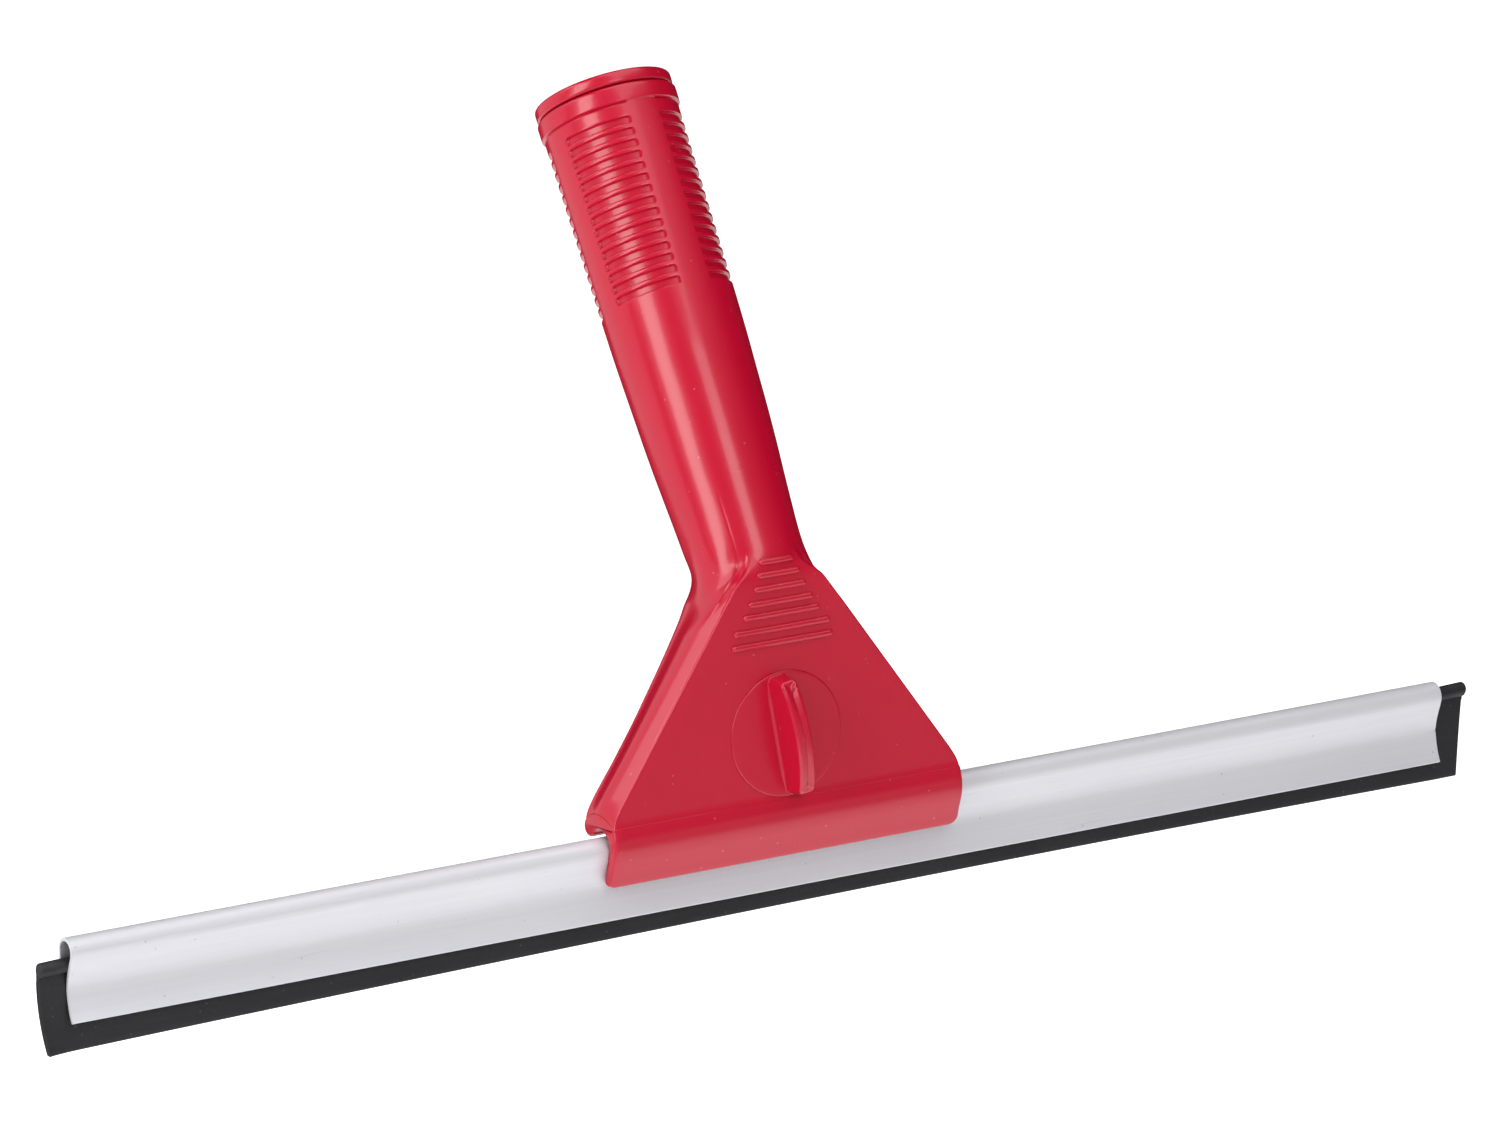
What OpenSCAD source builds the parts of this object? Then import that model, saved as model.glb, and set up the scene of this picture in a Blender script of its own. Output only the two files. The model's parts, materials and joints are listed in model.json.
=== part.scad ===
// Window cleaning squeegee, 35 cm
//
// A one-hand squeegee: a moulded handle whose head clips over a folded sheet
// rail, a rubber blade held in the rail by its bead, and a quarter-turn knob
// that locks the rail in the head. Everything is in millimetres. X runs along
// the rail, the flat front of the head faces -Y, and Z is up along the head.
// The grip leans back (+Y). The origin is the middle of the pole socket's
// mouth, at the open end of the grip.

/* [Rail and blade] */
// Length of the folded rail
rail_length = 350; // [250:10:450]
// Outside radius of the rail's rolled top loop
loop_radius = 3.0; // [2.5:0.1:4]
// Sheet thickness of the rail
sheet = 0.7; // [0.5:0.1:1]
// Height of the rail from its lower edge to the top of the loop
rail_height = 18.2; // [16:0.2:22]
// Length of the rubber blade
blade_length = 365; // [255:0.5:460]
// Blade thickness
blade_thick = 1.4; // [1:0.1:2]
// How far the rubber hangs below the rail
blade_show = 5.2; // [3:0.1:10]
// Sideways offset of the blade, which runs out a little further on one side
blade_shift = 0.8; // [-5:0.1:5]

/* [Head] */
// Width of the head across the rail
head_width = 88.8; // [70:0.2:110]
// Distance from the front plate to the middle of the rail loop
plate_front = 5.5; // [5:0.1:7]
// Height of the knob's axis above the rail
knob_height = 17; // [14:0.5:22]
// Diameter of the knob
knob_diameter = 27.8; // [22:0.2:34]
// Height of the knob's wing in front of the plate, at its middle
wing_height = 7.9; // [5:0.1:12]
// Radius of the wing's arched edge
wing_arc = 30; // [20:1:80]
// Thickness of the wing along its edge
wing_thick = 3.9; // [2:0.1:6]
// Turn of the wing from upright when the knob is locked
wing_tilt = 8.4; // [0:0.1:30]
// Number of raised bars on the front of the neck
bar_count = 7; // [3:1:9]

/* [Grip] */
// Backward lean of the grip
lean = 29.1; // [0:0.1:45]
// Diameter of the grip at its open end
grip_diameter = 30.6; // [26:0.2:36]
// Diameter of the neck just above the head
neck_diameter = 26.2; // [22:0.2:32]
// Bore for the extension pole
pole_bore = 21.6; // [18:0.2:26]
// Grooves in each finger panel
groove_count = 15; // [6:1:20]
// Spacing of the grooves along the grip
groove_pitch = 2.68; // [2:0.02:4]
// Width of each groove along the grip
groove_width = 1.84; // [1:0.02:2.4]

/* [Lock] */
// Travel of the lock shoe for a quarter turn
shoe_travel = 1.2; // [0.6:0.1:2]

/* [Hidden] */
rail_top = blade_show + rail_height;
loop_z = rail_top - loop_radius;
knob_z = rail_top + knob_height;
plate_y = -plate_front;
hw = head_width / 2;
// the blade hangs behind the front sheet, just clear of the back sheet, and
// its bead sits a little forward of it, inside the loop
play = 0.05;
blade_y = loop_radius - sheet - 0.3 - blade_thick / 2;
bead_r = 1.6;
bead_y = loop_radius - sheet - play - bead_r;
bead_z = rail_top - 5.05;
// the grip's axis passes through this point, and stations are measured from it
axis_y = 11.65;
axis_z = rail_top + 60;
s_neck = -10.6;
s_groove = 53.2;
s_band = 95;
s_end = 99;
s_mouth = s_end + 3.2;
s_shoulder = 60;
band_diameter = grip_diameter + 1.0;
collar_wall = 1.35;
collar_diameter = grip_diameter + 0.4;
// the knob's spindle has a thick front part and a thinner rear one
spindle_r = 4;
tail_r = 3;
cap_r = 5.2;
// half length of the wing, and the radius of its upright corners
wing_reach = 12.9;
wing_corner = 0.9;
cam_r = 7.3;
cam_low = knob_z - cam_r;
// underside of the shoe's ears, where the two springs push
shoe_under = cam_low - 2.4;
spring_x = 12.4;
spring_low = rail_top + 2.8;
eps = 0.01;

// the pieces are drawn up from the blade's edge, with the rail's loop at Y = 0;
// this moves them so that the mouth of the socket is the origin
module from_mouth() translate([0,
    -axis_y - s_mouth * sin(lean), -axis_z - s_mouth * cos(lean)]) children();

// put a child on the grip's axis, with its own Z along the axis
module on_grip(s = 0)
    translate([0, axis_y, axis_z]) rotate([-lean, 0, 0])
        translate([0, 0, s]) children();

// put a child on the knob's axis, with its own Z pointing out of the front
module on_knob(y = 0)
    translate([0, y, knob_z]) rotate([90, 0, 0]) children();

// extrude a (Y, Z) outline along X, centred on X = 0
module along_x(length, shift = 0)
    translate([shift - length / 2, 0, 0])
        rotate([90, 0, 90]) linear_extrude(length) children();

// front line of the rail, shared by the sheet and the mouth of the clip
function rail_front(grow) = [
    for (a = [100:10:190])
        [(loop_radius + grow) * cos(a),
         loop_z + (loop_radius + grow) * sin(a)],
    [-2.45 - grow, rail_top - 4.9], [-1.65 - grow, rail_top - 6.6],
    [-0.85 - grow, rail_top - 8.6], [-0.35 - grow, rail_top - 10.6],
    [-0.3 - grow, rail_top - 12.4], [-0.6 - grow, rail_top - 14.6],
    [-1.1 - grow, rail_top - 16.6], [-1.7 - grow, blade_show]];

// (Y, Z) outline of the clip along the bottom of the head: a flap down the
// front with a lip under the loop, and a short thick hook behind
module clip_outline() difference() {
    translate([0, rail_top]) polygon([
        [plate_y, 4], [plate_y - 0.3, 2.8], [plate_y - 0.8, 1.2],
        [plate_y - 1.0, -0.6], [plate_y - 0.95, -2.2], [plate_y - 0.5, -4.2],
        [-5.2, -6.1], [-4.3, -8.1], [-3.6, -9.8], [-3.1, -10.7],
        [-2.5, -10.95], [-1.8, -10.9], [-1.35, -10.3], [-1.3, -9.4],
        [-1.8, -7.6], [-2.25, -6.2], [-3.0, -4.8], [-3.2, -3.4], [0, -1],
        [3.2, -0.6], [4.0, -0.88], [5.0, -0.9], [6.0, -0.5], [6.7, 0.3],
        [6.95, 1.4], [6.9, 2.6], [6.6, 4]]);
    // arch over the loop, a little higher than it, and room for the loop
    translate([0.2, rail_top - 1.9]) circle(r = 3.5, $fn = 64);
    translate([0, loop_z]) circle(r = loop_radius + 0.35, $fn = 64);
}

// triangular head and the tapered tube, as one outer form
module handle_solid() {
    hull() {
        // front plate, from shoulder to shoulder and up to the neck
        translate([-hw, plate_y, rail_top + 3.4])
            cube([head_width, 9, 0.8]);
        translate([-6.6, plate_y, rail_top + 56]) cube([13.2, 9, 1]);
        // rounded back of the shoulders
        for (x = [-1, 1])
            translate([x * (hw - 2.2), 4.7, rail_top + 2.2])
                cylinder(r = 2.2, h = 3, $fn = 32);
        // lower end of the tube
        on_grip(s_neck - 3) cylinder(d = neck_diameter - 0.2, h = 3, $fn = 96);
    }
    along_x(head_width) clip_outline();
    on_grip(s_neck - 0.5) cylinder(
        d1 = neck_diameter, d2 = grip_diameter - 0.7, h = 61.1, $fn = 96);
    on_grip(50) cylinder(
        d1 = grip_diameter - 0.7, d2 = grip_diameter, h = s_end - 0.6 - 50,
        $fn = 96);
}

// one ring groove, cut only where the four finger panels are
module finger_grooves() intersection() {
    union() for (i = [0:groove_count - 1])
        on_grip(s_groove + i * groove_pitch)
            rotate_extrude($fn = 72)
                translate([grip_diameter / 2 - 0.8, -groove_width / 2])
                    square([2, groove_width]);
    on_grip(s_groove - 3)
        for (a = [45:90:315]) rotate([0, 0, a - 31])
            rotate_extrude(angle = 62, $fn = 72)
                translate([10, 0]) square([8, groove_count * groove_pitch + 4]);
}

module handle_body() color("#b92c3e") from_mouth() difference() {
    union() {
        handle_solid();
        // raised bars stepping up the front of the neck
        for (i = [0:bar_count - 1])
            let (z = rail_top + 37.7 + i * 3.02, w = 12.8 - i * 1.36)
                translate([-w, plate_y - 0.6, z - 0.75]) cube([2 * w, 1.6, 1.5]);
        // raised band round the end of the grip
        on_grip(s_band)
            cylinder(d = band_diameter, h = s_end - 0.6 - s_band, $fn = 96);
        on_grip(s_end - 0.6)
            cylinder(d1 = band_diameter, d2 = band_diameter - 1.2, h = 0.6, $fn = 96);
    }
    finger_grooves();
    // socket for the collar, then the hollow of the tube below it
    on_grip(s_shoulder)
        cylinder(r = pole_bore / 2 + collar_wall + play, h = 60, $fn = 72);
    on_grip(20) cylinder(r = pole_bore / 2 - 1, h = s_shoulder - 19, $fn = 72);
    on_grip(8) cylinder(r1 = 6, r2 = pole_bore / 2 - 1, h = 12 + eps, $fn = 72);
    // shallow seat for the knob's disc, and the bore for its spindle
    on_knob(plate_y + 1.3) cylinder(r = knob_diameter / 2 + 0.4, h = 5, $fn = 96);
    on_knob(8) cylinder(r = spindle_r + play, h = 20, $fn = 48);
    // chamber for the cam, and the slot the shoe slides in
    translate([-8, -2.3, rail_top + 8]) cube([16, 5.3, 18]);
    translate([-15.4, -2.3, shoe_under - 0.3]) cube([30.8, 5.3, 4.2]);
    translate([-9.4, -2.3, rail_top - 1]) cube([18.8, 5.3, 12]);
    for (x = [-1, 1]) translate([x * spring_x, 0.35, spring_low])
        cylinder(r = 2, h = 5, $fn = 32);
    // rear bearing and the pocket that hides the screw
    on_knob(8) cylinder(r = tail_r + play, h = 8, $fn = 48);
    on_knob(30) cylinder(r = cap_r, h = 24, $fn = 48);
}

// flanged sleeve that lines the socket and takes the pole's tip
module socket_collar() color("#a8283a") from_mouth() difference() {
    union() {
        on_grip(s_shoulder + 0.05)
            cylinder(r = pole_bore / 2 + collar_wall, h = 40, $fn = 72);
        on_grip(s_end + 0.35) cylinder(d = collar_diameter, h = 2.05, $fn = 96);
        on_grip(s_mouth - 0.8) cylinder(
            d1 = collar_diameter, d2 = collar_diameter - 1.6, h = 0.8, $fn = 96);
    }
    on_grip(s_shoulder - 5) cylinder(r = pole_bore / 2, h = 60, $fn = 72);
}

// arched fin with blunt ends, a little thicker at its root
module wing() on_knob(plate_y) rotate([0, 0, wing_tilt]) intersection() {
    hull() for (x = [-1, 1], y = [-1, 1])
        translate([x * (wing_thick / 2 - wing_corner), y * (wing_reach - wing_corner), -0.5])
            cylinder(r1 = wing_corner + 0.35, r2 = wing_corner, h = wing_height + 0.5, $fn = 32);
    translate([-4, 0, wing_height - wing_arc]) rotate([0, 90, 0])
        cylinder(r = wing_arc, h = 8, $fn = 240);
}

// disc, wing and spindle of the quarter-turn knob
module knob() color("#c22f44") from_mouth() difference() {
    union() {
        on_knob(plate_y + 1.0) cylinder(d = knob_diameter, h = 1.3, $fn = 96);
        on_knob(plate_y - 0.3)
            cylinder(d1 = knob_diameter, d2 = knob_diameter - 1.0, h = 0.5, $fn = 96);
        wing();
        on_knob(2.6) cylinder(r = spindle_r, h = 2.6 - plate_y, $fn = 48);
        on_knob(6.2) cylinder(r = tail_r, h = 6.2 - plate_y, $fn = 48);
    }
    // screw hole, cross hole for the pin, and the groove for the friction ring
    on_knob(7) cylinder(r = 1.5, h = 6, $fn = 32);
    translate([-6, 0.2, knob_z]) rotate([0, 90, 0]) cylinder(r = 1, h = 12, $fn = 24);
    on_knob(plate_y + 1.1) difference() {
        cylinder(r = 9.2, h = 0.8, $fn = 64);
        translate([0, 0, -1]) cylinder(r = 6.8, h = 3, $fn = 64);
    }
}

module friction_ring() color("#2b2b2d") from_mouth() on_knob(plate_y + 1.0) difference() {
    cylinder(r = 9.15, h = 0.65, $fn = 64);
    translate([0, 0, -1]) cylinder(r = 6.85, h = 3, $fn = 64);
}

// radius of the cam: its low side falls away over a quarter turn
function cam_radius(a) = a <= 90 ? cam_r - shoe_travel * a / 90
    : a <= 290 ? cam_r - shoe_travel
    : a <= 340 ? cam_r - shoe_travel * (340 - a) / 50 : cam_r;

module lock_cam() color("#e6e2d8") from_mouth() on_knob(2.2) difference() {
    linear_extrude(3.9) polygon([for (a = [0:6:354])
        cam_radius(a) * [cos(-90 - a), sin(-90 - a)]]);
    translate([0, 0, -1]) cylinder(r = 4, h = 8, $fn = 48);
    translate([-9, 0, 2]) rotate([0, 90, 0]) cylinder(r = 1, h = 18, $fn = 24);
}

module cam_pin() color("#b9bcc0") from_mouth()
    translate([-5.6, 0.2, knob_z]) rotate([0, 90, 0]) cylinder(r = 1, h = 11.2, $fn = 24);

// slides down onto the rail, and carries the two springs under its ears
module lock_shoe() color("#e6e2d8") from_mouth() {
    translate([-15, -1.95, shoe_under]) cube([30, 4.6, 2.1]);
    translate([-9, -1.95, rail_top + 1.7]) cube([18, 4.6, cam_low - rail_top - 2.1]);
}

module shoe_pad() color("#333336") from_mouth()
    translate([-9, -1.95, rail_top + 0.4]) cube([18, 4.6, 1.3]);

// open coil of round wire, standing on Z = 0
module coil(r, wire, height, turns, steps = 16, sides = 8) {
    rings = turns * steps;
    polyhedron(
        points = [for (i = [0:rings], j = [0:sides - 1])
            let (a = 360 * i / steps, b = 360 * j / sides,
                 q = r + wire * cos(b))
            [q * cos(a), q * sin(a),
             wire + (height - 2 * wire) * i / rings + wire * sin(b)]],
        faces = concat(
            [[for (j = [0:sides - 1]) j],
             [for (j = [sides - 1:-1:0]) rings * sides + j]],
            [for (i = [0:rings - 1], j = [0:sides - 1])
                let (k = (j + 1) % sides)
                [i * sides + j, (i + 1) * sides + j,
                 (i + 1) * sides + k, i * sides + k]]));
}

module lift_spring(x) color("#b9bcc0") from_mouth()
    translate([x, 0.35, spring_low + 0.02])
        coil(1.4, 0.3, shoe_under - spring_low - 0.04, 4);

module spring_left() lift_spring(-spring_x);
module spring_right() lift_spring(spring_x);

module spindle_washer() color("#c3c5c9") from_mouth() on_knob(7.1) difference() {
    cylinder(r = 4.7, h = 0.8, $fn = 48);
    translate([0, 0, -1]) cylinder(r = 1.6, h = 3, $fn = 32);
}

module spindle_screw() color("#b3b6ba") from_mouth() difference() {
    union() {
        on_knob(8.7) cylinder(r = 3.1, h = 1.6, $fn = 48);
        on_knob(8) cylinder(r = 1.5, h = 6.8, $fn = 32);
    }
    for (a = [0, 90]) on_knob(8.9) rotate([0, 0, a])
        translate([-1.8, -0.35, 0]) cube([3.6, 0.7, 1]);
}

module screw_cap() color("#a8283a") from_mouth() on_knob(10.9)
    cylinder(r = cap_r, h = 1.6, $fn = 48);

// one folded sheet: rolled loop, straight back sheet, waisted front sheet
module rail() color("#d9dadf") from_mouth() along_x(rail_length) difference() {
    union() {
        polygon(concat(rail_front(0),
            [[-1.0, blade_show], [-0.4, rail_top - 16.6], [0.1, rail_top - 14.6],
             [0.4, rail_top - 12.4], [0.35, rail_top - 10.6],
             [-0.2, rail_top - 8.6], [-1.0, rail_top - 6.6],
             [-1.8, rail_top - 4.9], [0, loop_z]]));
        translate([0, loop_z]) circle(r = loop_radius, $fn = 64);
        translate([loop_radius - sheet, blade_show]) square([sheet, loop_z - blade_show]);
    }
    translate([0, loop_z]) circle(r = loop_radius - sheet, $fn = 64);
    // the loop opens downward between the two sheets
    polygon([[-2.0, loop_z - 1.2], [-1.75, rail_top - 4.9],
        [-0.95, rail_top - 6.6], [-0.15, rail_top - 8.6],
        [loop_radius - sheet, rail_top - 8.6], [loop_radius - sheet, loop_z - 0.2]]);
}

module rubber_blade() color("#2c2b2e") from_mouth()
    along_x(blade_length, blade_shift) {
        translate([bead_y, bead_z]) circle(r = bead_r, $fn = 48);
        translate([blade_y - blade_thick / 2, 0]) square([blade_thick, bead_z]);
    }

handle_body();
socket_collar();
knob();
friction_ring();
lock_cam();
cam_pin();
lock_shoe();
shoe_pad();
spring_left();
spring_right();
spindle_washer();
spindle_screw();
screw_cap();
rail();
rubber_blade();
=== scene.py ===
import json
import math

import bmesh
import bpy
import numpy as np
from mathutils import Matrix, Vector


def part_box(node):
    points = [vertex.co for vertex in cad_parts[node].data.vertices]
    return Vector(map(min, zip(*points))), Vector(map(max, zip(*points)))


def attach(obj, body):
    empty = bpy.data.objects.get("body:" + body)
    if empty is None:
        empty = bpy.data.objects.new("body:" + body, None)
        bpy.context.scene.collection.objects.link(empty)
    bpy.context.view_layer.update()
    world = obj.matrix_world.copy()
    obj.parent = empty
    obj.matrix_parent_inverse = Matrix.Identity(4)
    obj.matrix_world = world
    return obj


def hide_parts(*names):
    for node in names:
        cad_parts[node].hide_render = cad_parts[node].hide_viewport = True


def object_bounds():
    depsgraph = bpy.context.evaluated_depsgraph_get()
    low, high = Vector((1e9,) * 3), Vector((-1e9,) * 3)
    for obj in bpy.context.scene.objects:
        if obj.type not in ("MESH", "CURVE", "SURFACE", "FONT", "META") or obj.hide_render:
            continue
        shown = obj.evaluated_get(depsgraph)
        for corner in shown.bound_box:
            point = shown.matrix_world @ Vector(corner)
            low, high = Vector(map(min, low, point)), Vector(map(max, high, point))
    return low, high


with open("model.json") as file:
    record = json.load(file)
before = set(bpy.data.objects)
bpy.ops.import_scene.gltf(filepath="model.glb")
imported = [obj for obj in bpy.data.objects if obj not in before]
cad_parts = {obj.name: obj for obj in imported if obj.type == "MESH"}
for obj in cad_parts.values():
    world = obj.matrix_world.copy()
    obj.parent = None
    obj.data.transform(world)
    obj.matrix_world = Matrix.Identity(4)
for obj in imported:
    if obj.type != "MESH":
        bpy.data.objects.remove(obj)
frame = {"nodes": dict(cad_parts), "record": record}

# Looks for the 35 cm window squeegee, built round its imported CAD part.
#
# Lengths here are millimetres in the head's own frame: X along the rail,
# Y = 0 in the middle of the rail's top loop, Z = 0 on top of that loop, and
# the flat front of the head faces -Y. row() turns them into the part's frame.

cad_low, cad_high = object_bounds()

MM = 0.001
rail_low, rail_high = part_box("rail")
# outside radius of the rail's top loop
LOOP_R = 3.0
HEAD_ORIGIN = np.array([0.0, rail_high.y / MM - LOOP_R, rail_high.z / MM])
MOUTH = frame["record"]["mounts"][0]
AXIS = np.array(MOUTH["axis"])
AXIS_POINT = np.array(MOUTH["pos_m"]) / MM - HEAD_ORIGIN
LEAN = math.atan2(AXIS[1], AXIS[2])
# station of the open end: stations s run up the grip's axis, in millimetres
S_MOUTH = 102.2

# ---------------------------------------------------------------- helpers


def row(points):
    """Millimetres in the head's frame to metres in the part's frame."""
    return (np.asarray(points, float) + HEAD_ORIGIN) * MM


def smooth(a, b, x):
    """0 to 1 as x goes from a to b, level at both ends."""
    t = np.clip((np.asarray(x, float) - a) / (b - a), 0, 1)
    return t * t * (3 - 2 * t)


def softplus(x):
    """0 far below x = 0 and x far above it, with a smooth bend between."""
    return np.logaddexp(0, x)


def catmull(points, per=6):
    """Smooth open curve through 2D points, in steps of 1 / per."""
    p = np.asarray(points, float)
    last = len(p) - 1
    out = []
    for i in range(last):
        a, b = p[max(i - 1, 0)], p[i]
        c, d = p[i + 1], p[min(i + 2, last)]
        for k in range(per):
            t = k / per
            out.append(0.5 * (2 * b + (c - a) * t
                              + (2 * a - 5 * b + 4 * c - d) * t ** 2
                              + (3 * b - a - 3 * c + d) * t ** 3))
    out.append(p[-1])
    return np.array(out)


def outward(obj):
    """Makes all faces of a closed mesh point outwards."""
    bm = bmesh.new()
    bm.from_mesh(obj.data)
    bmesh.ops.remove_doubles(bm, verts=bm.verts, dist=1e-7)
    bmesh.ops.recalc_face_normals(bm, faces=bm.faces)
    bm.to_mesh(obj.data)
    bm.free()


def closed_mesh(name, verts, faces):
    """New object from points in the head's frame, its faces outwards."""
    data = bpy.data.meshes.new(name)
    data.from_pydata(row(verts).tolist(), [], faces)
    data.validate()
    obj = bpy.data.objects.new(name, data)
    bpy.context.scene.collection.objects.link(obj)
    outward(obj)
    return obj


def finish_piece(obj, material, body, sharp):
    """Gives a piece its material and shading, and the body it rides on.

    Edges that turn by more than sharp degrees stay sharp."""
    data = obj.data
    data.materials.clear()
    data.materials.append(material)
    data.polygons.foreach_set("use_smooth", [True] * len(data.polygons))
    data.set_sharp_from_angle(angle=math.radians(sharp))
    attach(obj, body)


def grid_faces(rows, cols, wrap=True):
    """Quads of a grid of points, whose columns may close on themselves."""
    faces = []
    for i in range(rows - 1):
        for j in range(cols if wrap else cols - 1):
            k = (j + 1) % cols
            faces.append((i * cols + j, i * cols + k,
                          (i + 1) * cols + k, (i + 1) * cols + j))
    return faces


def end_faces(rows, cols):
    """The two faces that close a wrapped grid's first and last rows."""
    top = (rows - 1) * cols
    return [tuple(range(cols))[::-1], tuple(top + j for j in range(cols))]


def lathe(profile, origin, axis, across, sides=96):
    """Rings of points round an axis; profile holds (radius, along) pairs."""
    axis, across = np.asarray(axis, float), np.asarray(across, float)
    third = np.cross(axis, across)
    a = np.linspace(0, 2 * math.pi, sides, endpoint=False)
    rings = []
    for r, s in profile:
        rings.append(origin + s * axis + r * (np.cos(a)[:, None] * across
                                              + np.sin(a)[:, None] * third))
    return np.concatenate(rings)


def lathe_solid(profile, origin, axis, across, sides=96):
    """Points and faces of a closed solid of revolution.

    The profile runs round the solid's section; a first and last radius of 0
    close on the axis, otherwise the section is closed on itself."""
    verts = lathe(profile, origin, axis, across, sides)
    count = len(profile)
    faces = grid_faces(count, sides)
    if profile[0][0] < 1e-6:
        verts, faces = cap_poles(verts, faces, count, sides)
    else:
        for j in range(sides):
            k = (j + 1) % sides
            top = (count - 1) * sides
            faces.append((top + j, top + k, k, j))
    return verts, faces


def cap_poles(verts, faces, count, sides):
    """Replaces the first and last rings, which have no radius, by points."""
    inner = verts[sides:(count - 1) * sides]
    points = np.concatenate([inner, verts[:1], verts[-1:]])
    low, high = len(inner), len(inner) + 1
    out = grid_faces(count - 2, sides)
    top = (count - 3) * sides
    for j in range(sides):
        k = (j + 1) % sides
        out.append((low, k, j))
        out.append((high, top + j, top + k))
    return points, out


def box_mesh(low, high):
    """Points and faces of the box between two corners."""
    x0, y0, z0 = low
    x1, y1, z1 = high
    verts = [(x, y, z) for z in (z0, z1) for y in (y0, y1) for x in (x0, x1)]
    faces = [(0, 2, 3, 1), (4, 5, 7, 6), (0, 1, 5, 4), (2, 6, 7, 3),
             (0, 4, 6, 2), (1, 3, 7, 5)]
    return np.array(verts, float), faces


def boolean(obj, other, operation):
    """Applies one exact boolean to obj, and leaves the other mesh alone."""
    modifier = obj.modifiers.new("cut", "BOOLEAN")
    modifier.operation = operation
    modifier.solver = "EXACT"
    modifier.object = other
    bpy.context.view_layer.update()
    graph = bpy.context.evaluated_depsgraph_get()
    data = bpy.data.meshes.new_from_object(obj.evaluated_get(graph))
    obj.modifiers.clear()
    obj.data = data


# -------------------------------------------------------------- materials


def srgb(r, g, b):
    """Linear colour from 8-bit sRGB values."""
    out = []
    for c in (r, g, b):
        c = c / 255
        out.append(c / 12.92 if c <= 0.04045 else ((c + 0.055) / 1.055) ** 2.4)
    return (*out, 1.0)


class Shader:
    """Small helper for building one procedural material."""

    def __init__(self, name):
        self.mat = bpy.data.materials.new(name)
        self.mat.use_nodes = True
        self.tree = self.mat.node_tree
        self.bsdf = self.tree.nodes["Principled BSDF"]
        self.coords = self.add("ShaderNodeTexCoord").outputs["Object"]

    def add(self, kind, **settings):
        node = self.tree.nodes.new(kind)
        for key, value in settings.items():
            setattr(node, key, value)
        return node

    def link(self, a, b):
        self.tree.links.new(a, b)

    def set(self, **values):
        """Plain values for sockets of the shader, underscores for spaces."""
        for key, value in values.items():
            self.bsdf.inputs[key.replace("_", " ")].default_value = value

    def stretched(self, scale, turn=(0, 0, 0)):
        """Object coordinates, scaled and turned for marks with a direction."""
        m = self.add("ShaderNodeMapping")
        m.inputs["Scale"].default_value = scale
        m.inputs["Rotation"].default_value = turn
        self.link(self.coords, m.inputs["Vector"])
        return m.outputs["Vector"]

    def noise(self, scale, detail=3.0, rough=0.55, vector=None):
        n = self.add("ShaderNodeTexNoise")
        n.inputs["Scale"].default_value = scale
        n.inputs["Detail"].default_value = detail
        n.inputs["Roughness"].default_value = rough
        self.link(vector or self.coords, n.inputs["Vector"])
        return n.outputs["Fac"]

    def specks(self, scale, size, vector=None):
        """1 inside small scattered dots, 0 elsewhere."""
        v = self.add("ShaderNodeTexVoronoi")
        v.inputs["Scale"].default_value = scale
        self.link(vector or self.coords, v.inputs["Vector"])
        near = self.ramp(v.outputs["Distance"], 0.0, size, 1.0, 0.0)
        sparse = self.add("ShaderNodeSeparateColor")
        self.link(v.outputs["Color"], sparse.inputs["Color"])
        chosen = self.ramp(sparse.outputs["Red"], 0.80, 0.84, 0.0, 1.0)
        return self.math("MULTIPLY", near, chosen)

    def ramp(self, value, a, b, out_a, out_b):
        """value's range a to b, mapped to the range out_a to out_b."""
        m = self.add("ShaderNodeMapRange")
        for name, number in (("From Min", a), ("From Max", b),
                             ("To Min", out_a), ("To Max", out_b)):
            m.inputs[name].default_value = number
        self.link(value, m.inputs["Value"])
        return m.outputs["Result"]

    def math(self, operation, a, b):
        m = self.add("ShaderNodeMath", operation=operation)
        for socket, value in zip(m.inputs, (a, b)):
            if isinstance(value, (int, float)):
                socket.default_value = value
            else:
                self.link(value, socket)
        return m.outputs["Value"]

    def mix(self, factor, a, b):
        m = self.add("ShaderNodeMix", data_type="RGBA")
        self.link(factor, m.inputs["Factor"])
        for socket, value in ((m.inputs["A"], a), (m.inputs["B"], b)):
            if isinstance(value, tuple):
                socket.default_value = value
            else:
                self.link(value, socket)
        return m.outputs["Result"]

    def bump(self, *layers):
        """Chains (height, strength, distance) layers into the normal."""
        normal = None
        for height, strength, distance in layers:
            b = self.add("ShaderNodeBump")
            b.inputs["Strength"].default_value = strength
            b.inputs["Distance"].default_value = distance
            self.link(height, b.inputs["Height"])
            if normal:
                self.link(normal, b.inputs["Normal"])
            normal = b.outputs["Normal"]
        self.link(normal, self.bsdf.inputs["Normal"])


def red_plastic(name, tint=(187, 6, 43)):
    """Glossy moulding with a faint cloud, hairlines and a little dust."""
    s = Shader(name)
    cloud = s.noise(14, 2)
    fine = s.noise(900, 2)
    hair = s.noise(90, 4, 0.7, s.stretched((1, 26, 1), (0.4, 0.2, 0.7)))
    dust = s.specks(420, 0.13)
    warm = (tint[0] + 5, tint[1] + 4, tint[2] + 4)
    base = s.mix(cloud, srgb(*tint), srgb(*warm))
    base = s.mix(s.math("MULTIPLY", dust, 0.45), base, srgb(232, 150, 156))
    s.link(base, s.bsdf.inputs["Base Color"])
    haze = s.ramp(cloud, 0.0, 1.0, 0.25, 0.32)
    scuffs = s.ramp(hair, 0.60, 0.80, 0.0, 0.12)
    s.link(s.math("ADD", haze, scuffs), s.bsdf.inputs["Roughness"])
    s.set(IOR=1.49, Coat_Weight=0.25, Coat_Roughness=0.07, Coat_IOR=1.5)
    s.bump((fine, 0.03, 0.0001), (s.noise(110, 2), 0.04, 0.0005))
    return s.mat


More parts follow.
